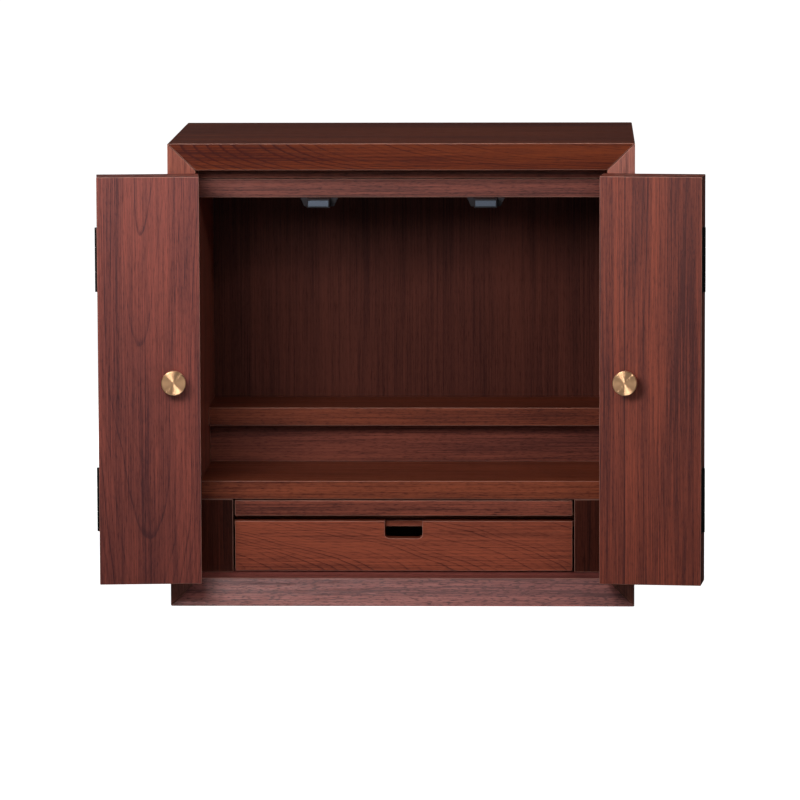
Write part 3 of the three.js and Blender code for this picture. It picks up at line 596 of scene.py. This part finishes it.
HEAD_SUNK = 0.00033  # of a head 0.4 mm high
LEAF_STEPS, LEAF_ASIDE = (-0.68, 0, 0.68), 0.2  # shares of a leaf's half height and half width
PLATE_STEPS = (-0.6, 0.6)  # shares of a strike plate's half width
black_spots = {}
for name in leaves:
    side, _, _, _, part, _ = name.split("_")
    board = {"case": f"case_{side}", "door": f"{side}_jamb_panel"}.get(part, f"{side}_{part}_panel")
    place, normal, sideways, half = broad_face(name, middle_of(board))
    spots = black_spots.setdefault(frame["nodes"][name]["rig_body"], [])
    for step in LEAF_STEPS:
        aside = sideways * (LEAF_ASIDE * half.y * (-1 if step else 1))
        spots.append((place + UP * (step * half.x) + aside - normal * HEAD_SUNK, normal))
for body, spots in sorted(black_spots.items()):
    screws(body, spots, BLACKENED, "hinge_black")
for side in ("left", "right"):
    name = f"{side}_strike_plate"
    place, normal, sideways, half = broad_face(name, middle_of(f"{side}_centre_panel"))
    spots = []
    for step in PLATE_STEPS:
        spots.append((place + sideways * (step * half.y) - normal * HEAD_SUNK, normal))
    screws(frame["nodes"][name]["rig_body"], spots, ZINC, "catch_steel")

# The knobs are turned from brass bar. The lathe leaves fine rings on their flat faces, and light
# from the front shows on them as crossed rays.
KNOB_PROFILE = (  # radius, and height above the door
    (0.0075, 0.0001), (0.0075, 0.0012), (0.0058, 0.0026), (0.005, 0.0045), (0.0054, 0.0085),
    (0.0074, 0.0111), (0.0105, 0.0124), (0.0114, 0.0127), (0.01175, 0.0134), (0.01175, 0.0172),
    (0.0116, 0.0178), (0.0113, 0.018), (0.0109, 0.01798), (0.0055, 0.0178), (0.0, 0.0176),
)
KNOB_SIDES = 96
LATHE_RINGS, LATHE_DEPTH = 5200.0, 0.00003  # waves per metre, and their depth
LATHE_ROUGHNESS = (0.29, 0.35)
RAYS_OUTWARD = 0.25  # of a turn, from round the knob to across its rings
BRASS_COLOUR = (0.76, 0.44, 0.24, 1)


def brass():
    material = bpy.data.materials.new("turned_brass")
    material.use_nodes = True
    tree = material.node_tree
    shader = tree.nodes["Principled BSDF"]
    unrolled = add(tree, "UVMap", uv_map="turned").outputs[0]
    outward = add(tree, "SeparateXYZ", {0: unrolled}).outputs["Y"]
    waves = {"W": sums(tree, "MULTIPLY", outward, LATHE_RINGS), "Scale": 1.0, "Detail": 2.0}
    ring = add(tree, "TexNoise", waves, noise_dimensions="1D").outputs[0]
    shader.inputs["Base Color"].default_value = BRASS_COLOUR
    shader.inputs["Metallic"].default_value = 1
    tree.links.new(spread(tree, ring, 0.3, 0.7, *LATHE_ROUGHNESS), shader.inputs["Roughness"])
    shader.inputs["Anisotropic"].default_value = 1
    shader.inputs["Anisotropic Rotation"].default_value = RAYS_OUTWARD
    tangent = add(tree, "Tangent", direction_type="UV_MAP", uv_map="turned").outputs[0]
    tree.links.new(tangent, shader.inputs["Tangent"])
    bump = add(tree, "Bump", {"Strength": 0.6, "Distance": LATHE_DEPTH, "Height": ring})
    tree.links.new(bump.outputs[0], shader.inputs["Normal"])
    return material


BRASS = brass()
for side in ("left", "right"):
    name = f"{side}_knob"
    panel = f"{side}_centre_panel"
    _, forward, sideways, _ = broad_face(panel, middle_of(panel) + Vector((0, 1, 0)))
    centre = middle_of(name)
    foot = min((v.co - centre).dot(forward) for v in frame["nodes"][name].data.vertices)
    foot = centre + forward * foot
    knob = bmesh.new()
    unrolled = knob.loops.layers.uv.new("turned")
    rows = []
    for radius, height in KNOB_PROFILE:
        turns = [2 * math.pi * i / KNOB_SIDES for i in range(KNOB_SIDES)] if radius else [0]
        spokes = [(sideways * math.cos(turn) + UP * math.sin(turn)) * radius for turn in turns]
        rows.append([knob.verts.new(foot + forward * height + spoke) for spoke in spokes])
    lengths = [0.0]
    for (r0, h0), (r1, h1) in zip(KNOB_PROFILE, KNOB_PROFILE[1:]):
        lengths.append(lengths[-1] + math.hypot(r1 - r0, h1 - h0))
    for row, (low, high) in enumerate(zip(rows, rows[1:])):
        for i in range(KNOB_SIDES):
            n = (i + 1) % KNOB_SIDES
            if len(high) > 1:
                corners = [low[i], low[n], high[n], high[i]]
                spots = [(i, row), (i + 1, row), (i + 1, row + 1), (i, row + 1)]
            else:
                corners = [low[i], low[n], high[0]]
                spots = [(i, row), (i + 1, row), (i + 0.5, row + 1)]
            face = knob.faces.new(corners)
            face.smooth = True
            for loop, (u, v) in zip(face.loops, spots):
                loop[unrolled].uv = (u / KNOB_SIDES, lengths[v])
    knob.faces.new(list(reversed(rows[0])))
    bmesh.ops.recalc_face_normals(knob, faces=knob.faces)
    mesh = bpy.data.meshes.new(name + "_turned")
    knob.to_mesh(mesh)
    knob.free()
    mesh.materials.append(BRASS)
    piece = bpy.data.objects.new(name + "_turned", mesh)
    bpy.context.scene.collection.objects.link(piece)
    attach(piece, frame["nodes"][name]["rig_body"])
    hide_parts(name)
